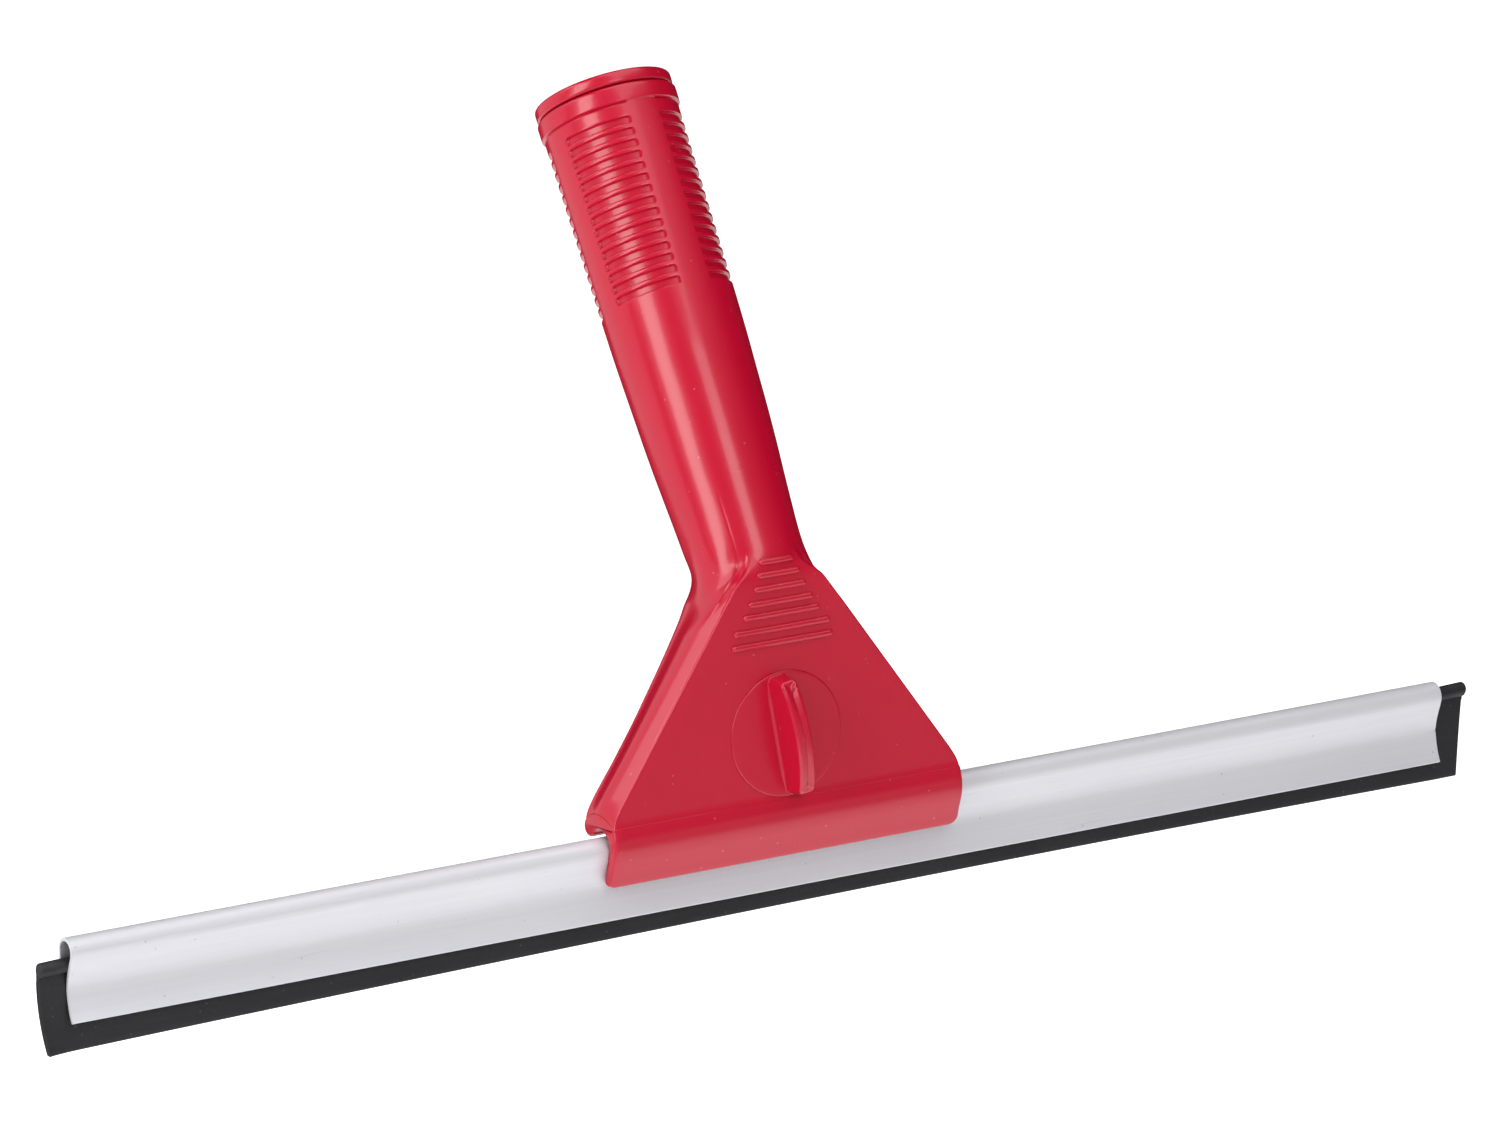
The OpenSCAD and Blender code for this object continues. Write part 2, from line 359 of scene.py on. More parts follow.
def rail_metal(name):
    """Satin sheet with drawing lines along it, and painted shade inside the fold."""
    s = Shader(name)
    drawn = s.noise(1400, 4, 0.7, s.stretched((0.012, 1, 1)))
    cloud = s.noise(22, 3, 0.6, s.stretched((0.5, 1, 1)))
    marks = s.noise(300, 3, 0.7, s.stretched((0.06, 1, 1), (0, 0.02, 0)))
    dust = s.specks(420, 0.13)
    base = s.mix(s.ramp(cloud, 0.3, 0.7, 0, 1), srgb(217, 217, 223),
                 srgb(222, 222, 227))
    base = s.mix(s.ramp(drawn, 0.3, 0.7, 0.0, 0.35), base, srgb(206, 206, 214))
    base = s.mix(s.ramp(marks, 0.66, 0.80, 0.0, 0.4), base, srgb(184, 184, 193))
    base = s.mix(s.math("MULTIPLY", dust, 0.6), base, srgb(120, 119, 124))
    # painted shade: the colour goes almost black where the sheet is hidden from light,
    # inside the fold and in creases
    painted_shade = s.add("ShaderNodeAmbientOcclusion", samples=6)
    painted_shade.inputs["Distance"].default_value = 0.006
    base = s.mix(s.ramp(painted_shade.outputs["AO"], 0.08, 0.42, 0.9, 0.0), base,
                 srgb(42, 41, 45))
    s.link(base, s.bsdf.inputs["Base Color"])
    rough = s.ramp(drawn, 0.3, 0.7, 0.38, 0.5)
    s.link(s.math("ADD", rough, s.ramp(marks, 0.66, 0.74, 0, 0.12)),
           s.bsdf.inputs["Roughness"])
    s.set(Metallic=0.2, IOR=1.5)
    s.bump((drawn, 0.08, 0.00008), (dust, 0.25, 0.0001))
    return s.mat


def black_rubber(name):
    """Matt rubber with fine grain, faint streaks and grey dust."""
    s = Shader(name)
    cloud = s.noise(35, 4)
    fine = s.noise(1200, 3, 0.7)
    streak = s.noise(500, 3, 0.7, s.stretched((0.05, 1, 1)))
    dust = s.specks(600, 0.15)
    base = s.mix(s.ramp(cloud, 0.3, 0.7, 0, 1), srgb(30, 29, 32), srgb(37, 36, 40))
    base = s.mix(s.ramp(streak, 0.5, 0.8, 0, 0.35), base, srgb(48, 47, 51))
    base = s.mix(s.math("MULTIPLY", dust, 0.7), base, srgb(104, 102, 106))
    s.link(base, s.bsdf.inputs["Base Color"])
    s.link(s.ramp(fine, 0.3, 0.7, 0.5, 0.66), s.bsdf.inputs["Roughness"])
    s.set(IOR=1.5)
    s.bump((fine, 0.12, 0.0001), (streak, 0.06, 0.0001))
    return s.mat


def acetal(name):
    """Milky white plastic of the parts inside the head."""
    s = Shader(name)
    cloud = s.noise(60, 3)
    fine = s.noise(1500, 3)
    base = s.mix(s.ramp(cloud, 0.3, 0.7, 0, 1), srgb(226, 221, 208),
                 srgb(235, 231, 220))
    base = s.mix(s.math("MULTIPLY", s.specks(700, 0.12), 0.4), base,
                 srgb(150, 140, 122))
    s.link(base, s.bsdf.inputs["Base Color"])
    s.link(s.ramp(fine, 0.3, 0.7, 0.36, 0.5), s.bsdf.inputs["Roughness"])
    s.bump((fine, 0.08, 0.0001))
    return s.mat


def steel(name):
    """Plain bright steel of the pin, springs, washer and screw."""
    s = Shader(name)
    cloud = s.noise(180, 4, 0.65)
    fine = s.noise(2200, 3)
    base = s.mix(s.ramp(cloud, 0.3, 0.7, 0, 1), srgb(170, 172, 175),
                 srgb(200, 201, 203))
    base = s.mix(s.math("MULTIPLY", s.specks(900, 0.14), 0.5), base,
                 srgb(104, 98, 92))
    s.link(base, s.bsdf.inputs["Base Color"])
    s.link(s.ramp(fine, 0.3, 0.7, 0.26, 0.42), s.bsdf.inputs["Roughness"])
    s.set(Metallic=1.0)
    s.bump((fine, 0.1, 0.0001))
    return s.mat


RED = red_plastic("red_plastic")
RAIL = rail_metal("rail_metal")
RUBBER = black_rubber("black_rubber")
ACETAL = acetal("natural_plastic")
STEEL = steel("steel")

# ------------------------------------------------------------ handle shell

PLATE_Y = -5.5
HEAD_HW = 44.4
KNOB_Z = 17.0
SIN, COS = math.sin(LEAN), math.cos(LEAN)
TAN = SIN / COS
# radius of the tube where it runs into the head
NECK_R = 12.25
# where the tube's front line meets the plate: along the grip, and its height
S_KNEE = S_MOUTH + (PLATE_Y + NECK_R * COS - AXIS_POINT[1]) / AXIS[1]
KNEE = AXIS_POINT[2] + AXIS[2] * (S_KNEE - S_MOUTH) + NECK_R * SIN
KNEE_BACK = (PLATE_Y + 2 * NECK_R * COS, KNEE - 2 * NECK_R * SIN)
# how gently the front and the back bend into the tube, in millimetres
FRONT_SOFT = 2.2
BACK_SOFT = 6.0
# lowest point (Y, Z) and slope of the head's back, and the ring it belongs to
BACK_FOOT = (7.0, 2.6)
BACK_SLOPE = 0.19
FOOT_RING = 3.2
# height at which the back turns from its own slope to the tube's
BACK_BEND = ((BACK_FOOT[0] - BACK_SLOPE * BACK_FOOT[1]
              - KNEE_BACK[0] + TAN * KNEE_BACK[1]) / (TAN - BACK_SLOPE))
BACK_RATE = (KNEE_BACK[1] - BACK_FOOT[1]) / (KNEE - FOOT_RING)
# points in each stretch of a ring's half outline, from the front round
SECTION = {"flat": 36, "ridge": 8, "rim": 10, "band": 6, "side": 60, "back": 40}
HALF = sum(SECTION.values())
# rings over which the head's section turns into the tube's, and how much
# earlier that ends on the back half
FRONT_BLEND = (51, 60)
SIDE_BLEND = (53, 77)
BACK_EARLIER = 12
# finger grooves: stations of their middles, half width, depth and half angle
GROOVES = 53.2 + 2.68 * np.arange(15)
GROOVE_HALF = 0.94
GROOVE_DEPTH = 0.72
GROOVE_ANGLE = 31
# the thicker band at the open end: its start, the line before it, its end
BAND_RISE = (94.85, 95.2)
BAND_LINE = 94.75
S_BODY_END = 98.9
BODY_EDGE = 0.7
# (station, radius) of the tube
TAPER = catmull([(-30, NECK_R), (-13, NECK_R), (3, 13.1), (18, 14.0), (32, 14.5),
                 (50, 14.95), (98.4, 15.3), (112, 15.4)], 6)


def on_axis(s):
    """(Y, Z) of the grip's axis at station s."""
    d = s - S_MOUTH
    return AXIS_POINT[1] + AXIS[1] * d, AXIS_POINT[2] + AXIS[2] * d


def grip_radius(s):
    """Radius of the tapered tube."""
    return float(np.interp(s, TAPER[:, 0], TAPER[:, 1]))


def ridge_half(h):
    """Half width of the front plate's ridge at height h.

    The edge is upright at the bottom, then slopes in at a constant rate."""
    h = np.asarray(h, float)
    start, bend, slope = 4.0, 0.8, 0.705
    inset = 0.12 * (1 - smooth(4, 9, h))
    return HEAD_HW - inset - slope * softplus((h - start) / bend) * bend


def back_line(h):
    """Y of the head's centre line behind, at height h."""
    return (BACK_FOOT[0] + BACK_SLOPE * (h - BACK_FOOT[1])
            + (TAN - BACK_SLOPE) * BACK_SOFT
            * softplus((h - BACK_BEND) / BACK_SOFT))


def front_bend(z):
    """How far the front has turned into the tube, z above the knee."""
    return FRONT_SOFT * softplus(z / FRONT_SOFT)


def ring_line(t):
    """Front and back points (Y, Z) of ring t.

    Below the knee t is the height of the front point, above it t - KNEE is
    the distance along the grip."""
    if t <= KNEE:
        # the plate swells a little where it runs into the flap below
        bulge = -0.4 * smooth(4.2, 1.6, t)
        front = (PLATE_Y + TAN * front_bend(t - KNEE) + bulge, t)
        back_height = BACK_FOOT[1] + BACK_RATE * (t - FOOT_RING)
        return front, (back_line(back_height), back_height)
    s = S_KNEE + t - KNEE
    r = grip_radius(s)
    y, z = on_axis(s)
    front = (y - r * COS, z + r * SIN)
    over = front[1] - KNEE
    front = (front[0] + TAN * (front_bend(over) - over), front[1])
    back = (y + r * COS, z - r * SIN)
    over = back[1] - BACK_BEND
    gap = BACK_SOFT * softplus(over / BACK_SOFT) - over
    return front, (back[0] + (TAN - BACK_SLOPE) * gap, back[1])


def house_section(front, back):
    """Half outline of the head in one ring: x across and v from the front."""
    depth = math.hypot(back[0] - front[0], back[1] - front[1])
    tilt = (back[0] - front[0]) / depth
    most_full = 1.5 * float(smooth(2, 9, front[1]) * (1 - smooth(44, 54, front[1])))
    most_draft = 1.6 * float(smooth(2, 30, front[1]))

    def height(v):
        """Z of the ring's plane at v."""
        return front[1] + (back[1] - front[1]) * v / depth

    def draft(v):
        """How far the side draws in towards the back."""
        return most_draft * float(smooth(3, 17, v))

    plate_half = float(ridge_half(front[1]))
    r = 0.6 + 1.6 * float(smooth(50, 55.5, front[1]))
    xs, vs = [], []
    for k in range(SECTION["flat"]):
        xs.append((plate_half - r) * k / SECTION["flat"])
        vs.append(0.0)
    for k in range(SECTION["ridge"]):
        a = math.pi / 2 * k / SECTION["ridge"]
        xs.append(plate_half - r + r * math.sin(a))
        vs.append(r - r * math.cos(a))
    # Y at which the side starts to round into the back, for some heights
    side_y = float(np.interp(height(depth * 0.8), [3, 14, 27, 39, 50],
                             [12.9, 13.2, 15.0, 16.3, 17.0]))
    v_side = min((side_y - 1.2) / tilt, depth - 0.9)
    spans = ((SECTION["rim"], r, 2.8), (SECTION["band"], 2.8, 3.6),
             (SECTION["side"], 3.6, v_side))
    for count, a, b in spans:
        for k in range(count):
            v = a + (b - a) * k / count
            belly = 1 - (1 - min((v - r) / 6.5, 1)) ** 2
            belly *= 1 - float(smooth(0.5, 1.0, v / v_side))
            xs.append(float(ridge_half(height(v))) + most_full * belly - draft(v))
            vs.append(v)
    # the back is a quarter of a superellipse, squarer low down
    x_side = float(ridge_half(height(v_side))) - draft(v_side)
    power = 4.0 - 1.4 * float(smooth(6, 40, front[1]))
    for k in range(SECTION["back"] + 1):
        a = math.pi / 2 * k / SECTION["back"]
        xs.append(x_side * max(math.cos(a), 0) ** (2 / power))
        vs.append(v_side + (depth - v_side) * math.sin(a) ** (2 / power))
    return np.array(xs), np.array(vs)


def section_angles(even):
    """Angle round the tube of each point; even = 1 spreads them evenly."""
    marks = [0, 27, 31, 40, 44, 130, 180]
    knots = np.concatenate([[0], np.cumsum(list(SECTION.values()))])
    own = np.interp(np.arange(HALF + 1), knots, marks)
    # denser where the finger grooves end
    fine = np.linspace(0, 180, 1801)
    weight = np.ones_like(fine)
    for edge in (14, 76, 104, 166):
        weight += 1.6 * np.exp(-((fine - edge) / 3.5) ** 2)
    total = np.concatenate([[0], np.cumsum((weight[1:] + weight[:-1]) / 2)])
    spread = np.interp(np.linspace(0, total[-1], HALF + 1), total, fine)
    return np.radians(own * (1 - even) + spread * even)


def grip_offset(s, angle):
    """How far the grip's skin sits below the plain tube at s and angle."""
    sink = np.zeros_like(angle)
    deg = np.degrees(angle)
    r, corner = 15.1, 0.6
    if GROOVES[0] - 2 < s < GROOVES[-1] + 2:
        w = abs(s - GROOVES[np.argmin(abs(GROOVES - s))])
        for middle in (45, 135):
            # distance outside the groove's rounded rectangle
            u = np.radians(abs(deg - middle)) * r
            du = u - (math.radians(GROOVE_ANGLE) * r - corner)
            dw = w - (GROOVE_HALF - corner)
            away = (np.hypot(np.maximum(du, 0), max(dw, 0))
                    + np.minimum(np.maximum(du, dw), 0) - corner)
            sink = np.maximum(sink, GROOVE_DEPTH * smooth(0.05, -0.34, away))
    # a fine line before the band, left out across the front
    sink += 0.30 * math.exp(-((s - BAND_LINE) / 0.17) ** 2) * (deg > 14)
    sink -= 0.5 * float(smooth(*BAND_RISE, s))
    if s > S_BODY_END - BODY_EDGE:
        k = (s - S_BODY_END + BODY_EDGE) / BODY_EDGE
        sink += BODY_EDGE * (1 - math.sqrt(max(1 - k * k, 0)))
    return sink


def ring_points(t):
    """All points of ring t, right half first, from the front round."""
    front, back = ring_line(t)
    depth = math.hypot(back[0] - front[0], back[1] - front[1])
    s = S_KNEE + t - KNEE
    even = float(smooth(5, 35, s)) if t > KNEE else 0.0
    angle = section_angles(even)
    deg = np.degrees(angle)
    radius = grip_radius(s)
    if t < SIDE_BLEND[1]:
        xh, vh = house_section(front, back)
        xc = radius * np.sin(angle)
        vc = depth / 2 * (1 - np.cos(angle))
        # on the sides the head and the tube meet in a fillet of softness k
        k = np.minimum(2.6, 0.2 * (xh + xc) + 1e-3)
        both = xc + k * softplus((xh - xc) / k)
        both[0] = both[-1] = 0
        ease = smooth(36, 60, deg)
        lift = np.where(angle < math.radians(40), xh, both)
        both = lift * (1 - ease) + both * ease
        # share of the tube's own section in this ring
        side_end = SIDE_BLEND[1] - BACK_EARLIER * smooth(85, 115, deg)
        q = (smooth(*FRONT_BLEND, t) * (1 - ease)
             + smooth(SIDE_BLEND[0], side_end, t) * ease)
        x = both * (1 - q) + xc * q
        v = vh * (1 - q) + vc * q
    else:
        sink = grip_offset(s, angle)
        x = (radius - sink) * np.sin(angle)
        v = depth / 2 - (depth / 2 - sink) * np.cos(angle)
    y = front[0] + (back[0] - front[0]) * v / depth
    z = front[1] + (back[1] - front[1]) * v / depth
    right = np.stack([x, y, z], 1)
    left = right[1:-1][::-1] * [-1, 1, 1]
    return np.concatenate([right, left])


def ring_stations():
    """Values of t for all rings, closer together where the shape turns."""
    head = np.concatenate([[1.9, 2.2], np.arange(2.6, 5.0, 0.2),
                           np.arange(5.0, 44, 0.6), np.arange(44, 66, 0.35)])
    neck = np.arange(-1.8, 50.6, 0.9)
    wall = np.array([0.5, 0.6, 0.68, 0.75, 0.82, 0.88, 0.94, 1.0])
    local = np.concatenate([[-1.34], -wall[::-1], [0], wall])
    ribs = (GROOVES[:, None] + local[None, :]).ravel()
    band = [92.04, 92.8, 93.6, 94.2, 94.45, 94.55, 94.65, 94.75, 94.85, 94.93, 95.0,
            95.08, 95.15, 95.4, 96.2, 97.2]
    turns = np.linspace(0, math.pi / 2, 8)
    edge = S_BODY_END - BODY_EDGE + BODY_EDGE * np.sin(turns)
    grip = KNEE - S_KNEE + np.concatenate([neck, ribs, band, edge])
    t = np.unique(np.round(np.concatenate([head, grip]), 4))
    return t[np.concatenate([[True], np.diff(t) > 0.03])]


def handle_shell():
    """Closed skin of the head and grip, open inside for the pole socket."""
    verts = [ring_points(t) for t in ring_stations()]
    cols = len(verts[0])
    # the inside of the tube, from the rim down: socket, then the hollow
    angle = section_angles(1.0)
    full = np.concatenate([angle, 2 * math.pi - angle[1:-1][::-1]])
    socket_r, hollow_r, tip_s = 12.2, 9.8, 8.0
    inside = [(13.4, S_BODY_END), (12.5, S_BODY_END), (socket_r, S_BODY_END - 0.3)]
    inside += [(socket_r, s) for s in np.arange(96, 60.5, -3)]
    inside += [(socket_r, 60.0), (hollow_r, 60.0)]
    inside += [(hollow_r, s) for s in np.arange(56, 20.5, -4)]
    inside += [(hollow_r, 20.0), (6.0, tip_s)]
    for r, s in inside:
        y, z = on_axis(s)
        verts.append(np.stack([r * np.sin(full), y - r * np.cos(full) * COS,
                               z + r * np.cos(full) * SIN], 1))
    count = len(verts)
    faces = grid_faces(count, cols)
    points = np.concatenate(verts + [[[0, *on_axis(tip_s)]]])
    tip = count * cols
    last = (count - 1) * cols
    faces += [(last + j, last + (j + 1) % cols, tip) for j in range(cols)]
    # flat underside, meshed as strips between the two halves
    for j in range(HALF):
        a, b = j, j + 1
        c, d = cols - b, (cols - a) % cols
        if j == 0:
            faces.append((b, a, c))
        elif j == HALF - 1:
            faces.append((b, a, d))
        else:
            faces.append((b, a, d, c))
    return points, faces


def head_cutters():
    """One closed mesh for everything that is hollow in the head."""
    out, x = (0, -1, 0), (1, 0, 0)
    centre = np.array([0, 0, KNOB_Z])

    def bore(radius, start, end, sides):
        """Cylinder on the knob's axis, between two distances in front of it."""
        profile = [(0, start), (radius, start), (radius, end), (0, end)]
        return lathe_solid(profile, centre, out, x, sides)

    seat = [(0, 8), (14.02, 8), (14.02, 4.3), (13.95, 4.2), (0, 4.2)]
    cutter = closed_mesh("cutter", *lathe_solid(seat, centre, out, x))
    hollows = [
        bore(4.05, 5, -2.9, 48),
        # the cam's chamber, the slot of the shoe's ears and the shoe's way
        # down, each a little narrower than the last
        box_mesh((-8, -2.32, 8), (8, 3.02, 26)),
        box_mesh((-15.4, -2.3, 7.0), (15.4, 3, 11.2)),
        box_mesh((-9.4, -2.28, -2), (9.4, 2.98, 11)),
        bore(3.05, -2.5, -8, 48),
        bore(5.2, -6, -24, 64)]
    for side in (-12.4, 12.4):
        # seat of one spring
        hollows.append(lathe_solid([(0, 2.8), (2, 2.8), (2, 9), (0, 9)],
                                   np.array([side, 0.35, 0]), (0, 0, 1), x, 32))
    for verts, faces in hollows:
        other = closed_mesh("part_cut", verts, faces)
        boolean(cutter, other, "UNION")
        bpy.data.objects.remove(other)
    outward(cutter)
    return cutter


def clip_piece():
    """The flap, arch and hook along the bottom of the head."""
    front = catmull([(-5.85, 2.6), (-6.1, 1.6), (-6.42, 0.4), (-6.5, -0.6),
                     (-6.45, -2.2), (-6.0, -4.2), (-5.2, -6.1), (-4.3, -8.1),
                     (-3.6, -9.8), (-3.12, -10.65), (-2.5, -10.95),
                     (-1.65, -10.9), (-1.15, -10.3), (-1.05, -9.4),
                     (-1.4, -7.8), (-1.95, -6.3), (-2.6, -5.0)], 5)
    arch_c, arch_r = np.array([0.2, -1.9]), 3.5
    start = 2 * math.pi + math.atan2(-4.4 + 1.9, -2.75 - 0.2)
    angles = np.linspace(start, math.radians(42), 40)
    arch = arch_c + arch_r * np.stack([np.cos(angles), np.sin(angles)], 1)
    hook_c, hook_r = np.array([4.7, 1.5]), 2.22
    angles = np.linspace(math.radians(215), math.radians(372), 28)
    hook = hook_c + hook_r * np.stack([np.cos(angles), np.sin(angles)], 1)
    crown = catmull([hook[-1], (6.3, 3.0), (4.83, 4.1), (2.65, 4.85), (0.53, 5.0),
                     (-1.2, 4.6), (-3.25, 3.75), (-5.0, 3.1), (-5.85, 2.6)], 5)
    loop = np.concatenate([front, arch, hook, crown[1:-1]])
    # directions into the outline, along which its two ends are rounded
    following = np.roll(loop, -1, 0)
    tangent = following - np.roll(loop, 1, 0)
    tangent /= np.linalg.norm(tangent, axis=1)[:, None]
    normal = np.stack([-tangent[:, 1], tangent[:, 0]], 1)
    area = 0.5 * np.sum(loop[:, 0] * following[:, 1] - following[:, 0] * loop[:, 1])
    inward = normal if area > 0 else -normal
    # rounding of the ends: wide on the front face, tighter elsewhere
    edge = 0.75
    share = 0.45 + 0.55 * smooth(-3.6, -5.2, loop[:, 0])
    turns = np.linspace(0, math.pi / 2, 6)
    left = [(-HEAD_HW + edge * (1 - math.cos(b)), edge * (1 - math.sin(b)))
            for b in turns]
    middle = [(x, 0.0) for x in np.linspace(-HEAD_HW + 3, HEAD_HW - 3, 30)]
    right = [(-x, d) for x, d in left[::-1]]
    flap_end = 10.95
    verts = []
    for x, d in left + middle + right:
        yz = loop + inward * (d * share)[:, None]
        # the flap's lower corners are rounded in front view, the right one more
        r = 2.0 if x > 0 else 1.1
        low = np.clip(-(loop[:, 1] + flap_end - r) / r, 0, 1)
        cut = r * (1 - np.sqrt(1 - low ** 2))
        verts.append(np.column_stack([np.sign(x) * (abs(x) - cut), yz]))
    rows, cols = len(verts), len(loop)
    return np.concatenate(verts), grid_faces(rows, cols) + end_faces(rows, cols)


def build_handle():
    cutter = head_cutters()
    for name, make in (("handle_shell", handle_shell), ("rail_clip", clip_piece)):
        obj = closed_mesh(name, *make())
        boolean(obj, cutter, "DIFFERENCE")
        finish_piece(obj, RED, "handle", 32)
    bpy.data.objects.remove(cutter)
    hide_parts("handle_body")


build_handle()


def front_surface(x, z):
    """Y of the head's front at (x, z)."""
    ring = ring_points(z)[:SECTION["flat"] + 12]
    return float(np.interp(abs(x), ring[:, 0], ring[:, 1]))


def raised_bars():
    """Rounded bars across the neck, shorter towards the top."""
    heights = [37.6, 40.65, 43.9, 46.6, 49.7, 52.6, 55.3]
    halves = [12.8, 12.3, 9.7, 8.2, 6.6, 5.4, 4.4]
    # half height of a bar, how far it stands out, and how deep it is set
    tall, proud, sunk = 0.72, 0.75, 0.05
    sides = 20
    around = np.linspace(0, 2 * math.pi, sides, endpoint=False)
    for number, (z, half) in enumerate(zip(heights, halves), 1):
        xs, scale = [], []
        for b in np.linspace(0, math.pi / 2, 8):
            xs.append(-half + tall * (1 - math.cos(b)))
            scale.append(math.sin(b))
        xs[0], scale[0] = -half, 0.05
        inner = np.linspace(-half + tall + 0.4, half - tall - 0.4, 17)
        stations = xs + list(inner) + [-x for x in xs[::-1]]
        sizes = scale + [1.0] * len(inner) + scale[::-1]
        verts = []
        for x, k in zip(stations, sizes):
            y0 = front_surface(x, z) + sunk
            verts.append(np.column_stack([
                np.full(sides, x), y0 - proud * k * np.cos(around),
                z + tall * k * np.sin(around)]))
        faces = grid_faces(len(verts), sides) + end_faces(len(verts), sides)
        obj = closed_mesh(f"neck_bar_{number}", np.concatenate(verts), faces)
        finish_piece(obj, RED, "handle", 60)


raised_bars()

# ---------------------------------------------------- collar, cap and knob


def rounded(r, a, b, edge, steps=5):
    """Profile points over the outside of a ring from a to b, edges rounded."""
    out = []
    for k in range(steps + 1):
        t = math.pi / 2 * k / steps
        out.append((r - edge + edge * math.sin(t), a + edge - edge * math.cos(t)))
    for k in range(steps + 1):
        t = math.pi / 2 * k / steps
        out.append((r - edge + edge * math.cos(t), b - edge + edge * math.sin(t)))
    return out


def build_collar():
    """Ring at the open end, with the sleeve that lines the socket."""
    y, z = on_axis(0)
    origin = np.array([0, y, z])
    bore_r, sleeve_r, ring_r = 10.8, 12.15, 15.5
    profile = [(bore_r, 60.4), (10.95, 60.05)]
    profile += [(sleeve_r, s) for s in (60.05, 70, 80, 90, 99.35)]
    profile += rounded(ring_r, 99.22, S_MOUTH, 0.8)
    profile += [(12.6, S_MOUTH), (11.2, S_MOUTH), (10.95, S_MOUTH - 0.1)]
    profile += [(bore_r, s) for s in (S_MOUTH - 0.4, 96, 88, 80, 70)]
    verts, faces = lathe_solid(profile, origin, AXIS, (1, 0, 0), 120)
    obj = closed_mesh("socket_collar_ring", verts, faces)
    finish_piece(obj, RED, "handle", 35)
    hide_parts("socket_collar")


def build_cap():
    """Round cap over the spindle's screw, at the back."""
    profile = [(0, -9.3), (5.0, -9.3), (5.14, -9.4), (5.14, -10.5)]
    profile += [(5.0 - 0.35 + 0.35 * math.cos(a), -10.55 - 0.35 * math.sin(a))
                for a in np.linspace(0, math.pi / 2, 5)]
    profile += [(3.4, -10.95), (2.6, -10.8), (0, -10.75)]
    verts, faces = lathe_solid(profile, np.array([0, 0, KNOB_Z]), (0, -1, 0),
                               (1, 0, 0), 64)
    obj = closed_mesh("rear_cap", verts, faces)
    finish_piece(obj, RED, "handle", 35)
    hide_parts("screw_cap")


WING_TILT = math.radians(8.4)
# half length, half thickness, height over the plate and radius of its arch
WING_REACH, WING_HALF, WING_TALL, WING_ARC = 12.9, 1.98, 7.95, 30.0
WING_CORNER = 1.0
DISC_R = 13.97
DISC_FACE = 5.8


def wing_height(z):
    """Height of the wing over the disc at z along the wing."""
    return (WING_TALL - (DISC_FACE + PLATE_Y) - WING_ARC
            + math.sqrt(WING_ARC ** 2 - z ** 2))


def wing_piece():
    """The fin: outlines that shrink from its root to its top edge."""
    long_side = np.linspace(-1, 1, 44)[1:-1]
    side, end = WING_HALF - WING_CORNER, WING_REACH - WING_CORNER
    outline = []
    for sx, sz, start in ((1, 1, 0), (-1, 1, 90), (-1, -1, 180), (1, -1, 270)):
        for a in np.radians(np.linspace(start, start + 90, 9)):
            outline.append((sx * side + WING_CORNER * math.cos(a),
                            sz * end + WING_CORNER * math.sin(a),
                            math.cos(a), math.sin(a)))
        if sx * sz < 0:
            outline += [(sx * WING_HALF, -sx * end * k, float(sx), 0.0)
                        for k in long_side]
    n = len(outline)
    outline = np.array(outline)
    x0, z0, nx, nz = outline.T
    tall = np.array([wing_height(z) for z in z0])
    # a small concave foot along both sides, which fades out at the ends
    foot = 0.3 + 0.5 * np.abs(nx) ** 3 * smooth(12.6, 8.0, np.abs(z0))
    flare, edge = 0.45, 0.7
    c, s = math.cos(WING_TILT), math.sin(WING_TILT)
    rings = []

    def ring(x, z, height):
        """One outline at a height over the disc, turned with the wing."""
        rings.append(np.column_stack([x * c - z * s, -(DISC_FACE - 0.03) - height,
                                      KNOB_Z + z * c + x * s]))

    def grown(grow, height):
        """The wing's own outline moved out by grow."""
        ring(x0 + nx * grow, z0 + nz * grow, height)

    for t in np.linspace(0, math.pi / 2, 9):
        grown(flare + foot * (1 - math.sin(t)), foot * (1 - math.cos(t)))
    for k in np.linspace(0, 1, 8)[1:]:
        grown(flare * (1 - k), foot + (tall - edge - foot) * k)
    for t in np.linspace(0, math.pi / 2, 7)[1:]:
        grown(-edge * (1 - math.cos(t)), tall - edge * (1 - math.sin(t)))
    # the top face, closing in on its middle line
    for k in (0.75, 0.5, 0.25, 0.02):
        z = z0 - np.sign(z0) * np.minimum((1 - k) * 1.3, np.abs(z0))
        ring(x0 * k + nx * k * -edge, z + nz * k * -edge, tall + 0.05 * (1 - k * k))
    rings.insert(0, rings[0] + [0, 0.6, 0])
    faces = grid_faces(len(rings), n) + end_faces(len(rings), n)
    return np.concatenate(rings), faces


